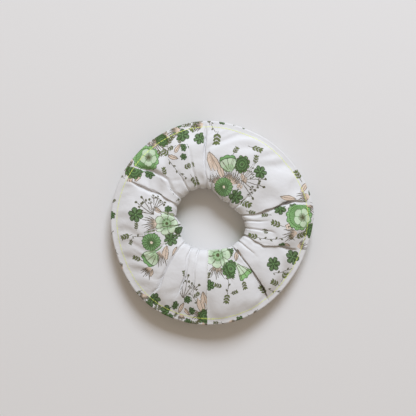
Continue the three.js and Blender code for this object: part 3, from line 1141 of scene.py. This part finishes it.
def stitch_points(path, normals, pitch, lift, closed):
    """Stitches along a path on the cloth: for each the centre line of its thread, which dips into the cloth
    at both ends, and the cloth's outward direction along it."""
    if closed:
        path = np.vstack([path, path[:1]])
        normals = np.vstack([normals, normals[:1]])
    along = np.concatenate([[0], np.cumsum(np.linalg.norm(np.diff(path, axis=0), axis=1))])
    count = max(1, round(along[-1] / pitch))
    starts = np.arange(count) * along[-1] / count + STITCH_GAP_MM / 2
    t = np.linspace(0, 1, THREAD_RINGS)
    at = starts[:, None] + t[None, :] * (along[-1] / count - STITCH_GAP_MM)
    centre = np.stack([np.interp(at, along, path[:, k]) for k in range(3)], axis=2)
    normal = np.stack([np.interp(at, along, normals[:, k]) for k in range(3)], axis=2)
    normal /= np.linalg.norm(normal, axis=2, keepdims=True)
    rise = lift + 0.5 * THREAD_MM * (1 - np.abs(2 * t - 1) ** 4) - THREAD_SINKS * THREAD_MM
    return centre + normal * rise[None, :, None], normal


def thread_object(name, runs):
    """One mesh of all stitches in the runs, each a closed tube of twisted thread."""
    points = []
    faces = []
    # A stitch is thickest in its middle and round at both ends.
    swell = np.sqrt(np.maximum(1 - np.abs(np.linspace(-1, 1, THREAD_RINGS)) ** 3, 0.08)) * THREAD_MM / 2
    turn = np.linspace(0, TURN, THREAD_SIDES, endpoint=False)
    for centres, normals in runs:
        ahead = np.gradient(centres, axis=1)
        side = np.cross(ahead, normals)
        side /= np.linalg.norm(side, axis=2, keepdims=True)
        up = np.cross(side, ahead)
        up /= np.linalg.norm(up, axis=2, keepdims=True)
        ring = side[:, :, None] * np.cos(turn)[:, None] + up[:, :, None] * np.sin(turn)[:, None]
        tubes = centres[:, :, None] + ring * swell[:, None, None]
        for tube in tubes:
            first = len(points) * THREAD_RINGS * THREAD_SIDES
            points.append(tube.reshape(-1, 3))
            walls = grid_faces(THREAD_RINGS, THREAD_SIDES)[:, ::-1] + first
            near_end = np.arange(THREAD_SIDES) + first
            far_end = near_end[::-1] + (THREAD_RINGS - 1) * THREAD_SIDES
            faces += [*walls.tolist(), near_end.tolist(), far_end.tolist()]
    return new_mesh_object(name, np.vstack(points) * MM, faces)


def on_radius(points, radius_mm, back):
    """The points of the cloth along the circle that had this radius when the ring was round."""
    radii = fine_section[:, 0]
    split = int(np.argmin(radii))
    rows = np.arange(split, fine_rows) if back else np.arange(split, -1, -1)
    at = np.interp(radius_mm, radii[rows], rows)
    low = int(min(at, fine_rows - 2))
    return points[low] * (low + 1 - at) + points[low + 1] * (at - low)


def thread_material(name, colour, shade):
    made, tree, shader = new_material(name, 0.45, Sheen_Weight=0.3, Sheen_Roughness=0.4)
    place = texture_place(tree, 1 / MM)
    mottle = noise(tree, place, scale=3.0, detail=3.0)
    put(shader.inputs["Base Color"], mix_colour(tree, mottle, colour, shade))
    ply = tree.nodes.new("ShaderNodeTexWave")
    ply.bands_direction = "DIAGONAL"
    put(ply.inputs["Vector"], place)
    ply.inputs["Scale"].default_value = 1.6
    ply.inputs["Distortion"].default_value = 0.6
    twist = bump(tree, Num(tree, ply.outputs["Fac"]), distance_mm=0.06, strength=0.7)
    put(shader.inputs["Normal"], twist)
    return made


RIB_PITCH_MM = 0.8  # of the elastic's lengthwise ribs
BRAID_THREADS = 70  # pairs of them, round the elastic
BRAID_SWAY = 0.8
ELASTIC_WHITE = linear(240, 239, 236)
# painted shade for the grooves between the elastic's ribs, which the noise also mixes in as a random darker
# tone
ELASTIC_GROOVE_SHADE_AND_TONE = linear(196, 194, 190)


def elastic_material():
    """White braid: fine ribs along the band with the threads of the braid across them, and painted shade in
    the grooves between the ribs.
    """
    made, tree, shader = new_material("braided_elastic", 0.7, Sheen_Weight=0.2)
    place = texture_place(tree, 1 / MM)
    x, y, z = parts(tree, "ShaderNodeSeparateXYZ", place)
    ribs = ridges(z, RIB_PITCH_MM)
    sway = (z * (math.pi / RIB_PITCH_MM)).math("COSINE") * BRAID_SWAY
    braid = abs((y.math("ARCTAN2", x) * BRAID_THREADS + sway).math("SINE"))
    # darker in the grooves between the ribs: painted shade; on the ribs the noise gives a random darker tone
    colour = mix_colour(tree, ribs * noise(tree, place, scale=1.5), ELASTIC_GROOVE_SHADE_AND_TONE, ELASTIC_WHITE)
    put(shader.inputs["Base Color"], colour)
    put(shader.inputs["Normal"], bump(tree, ribs + braid * 0.5, distance_mm=0.25, strength=0.8))
    return made


lime = thread_material("lime_thread", linear(240, 250, 116), linear(228, 242, 92))
white = thread_material("white_thread", linear(240, 239, 235), linear(224, 223, 218))
outward = cover_normals(cloth_points)
for name, back in (("topstitch_needle_thread", False), ("topstitch_bobbin_thread", True)):
    path = on_radius(cloth_points, TOPSTITCH_RADIUS_MM, back)
    out = on_radius(outward, TOPSTITCH_RADIUS_MM, back)
    runs = [stitch_points(path, out, TOPSTITCH_PITCH_MM, TOPSTITCH_LIFT_MM, True)]
    angle = np.degrees(np.arctan2(path[:, 1], path[:, 0]))
    turned = np.roll(np.arange(len(path)), len(path) // 2)
    tacked = turned[(angle[turned] > BACK_TACK[0]) & (angle[turned] < BACK_TACK[1])]
    for shift, pitch in BACK_TACK_RUNS:
        sideways = path[tacked] * (1 + shift / TOPSTITCH_RADIUS_MM * np.array([1, 1, 0]))
        runs.append(stitch_points(sideways, out[tacked], pitch, BACK_TACK_LIFT_MM, False))
    stitched = thread_object(name.replace("thread", "stitches"), runs)
    finish_piece(stitched, name, lime)

seam_rows = np.flatnonzero(fine_section[:, 0] < SEAM_RADIUS_MM)
seam_path = cloth_points[seam_rows, 0]
seam_run = stitch_points(seam_path, outward[seam_rows, 0], SEAM_PITCH_MM, SEAM_LIFT_MM, False)
seam = thread_object("cross_seam_stitches", [seam_run])
finish_piece(seam, "cross_seam_thread", white)

for node, material in (("elastic_band", elastic_material()), ("elastic_join_thread", white)):
    for slot in bpy.data.objects[node].material_slots:
        slot.material = material

# ---------------------------------------------------------------- floor, light and camera

FLOOR_HALF = 2  # metres, like the window's sizes
FLOOR_COLOUR = (0.775, 0.75, 0.73)
WORLD_COLOUR = (1.0, 0.865, 0.72)
WORLD_STRENGTH = 0.39
WINDOW_COLOUR = (0.795, 0.885, 1.01)
WINDOW_ENERGY = 40.5
WINDOW_DISTANCE = 2.0
WINDOW_SIZE = 0.8
WINDOW_TURN = math.radians(78)
WINDOW_RISE = math.radians(39)

floor = square("floor", FLOOR_HALF)
paper, _, paper_shader = new_material("paper", 0.9)
paper_shader.inputs["Base Color"].default_value = (*FLOOR_COLOUR, 1)
floor.data.materials.append(paper)

world = bpy.data.worlds.new("world")
bpy.context.scene.world = world
world.use_nodes = True
background = world.node_tree.nodes["Background"]
background.inputs["Color"].default_value = (*WORLD_COLOUR, 1)
background.inputs["Strength"].default_value = WORLD_STRENGTH
lamp = bpy.data.lights.new("window", "AREA")
lamp.size = WINDOW_SIZE
lamp.energy = WINDOW_ENERGY
lamp.color = WINDOW_COLOUR
window = bpy.data.objects.new("window", lamp)
level = WINDOW_DISTANCE * math.cos(WINDOW_RISE)
rise = WINDOW_DISTANCE * math.sin(WINDOW_RISE)
window.location = (level * math.cos(WINDOW_TURN), level * math.sin(WINDOW_TURN), rise)
window.rotation_euler = (-window.location).to_track_quat("-Z", "Y").to_euler()
bpy.context.scene.collection.objects.link(window)

LENS = 85.0
SENSOR = 36.0
VIEW_WIDTH_MM = 246.0
VIEW_CENTRE_MM = (-3.1, 8.2)
VIEW_FROM = 0.01  # the height, in metres, at which the view is that wide

camera_data = bpy.data.cameras.new("camera")
camera_data.lens = LENS
camera_data.sensor_width = SENSOR
camera = bpy.data.objects.new("camera", camera_data)
camera_height = VIEW_WIDTH_MM * MM * LENS / SENSOR + VIEW_FROM
camera.location = (VIEW_CENTRE_MM[0] * MM, VIEW_CENTRE_MM[1] * MM, camera_height)
bpy.context.scene.collection.objects.link(camera)
bpy.context.scene.camera = camera
bpy.context.scene.view_settings.view_transform = "Standard"
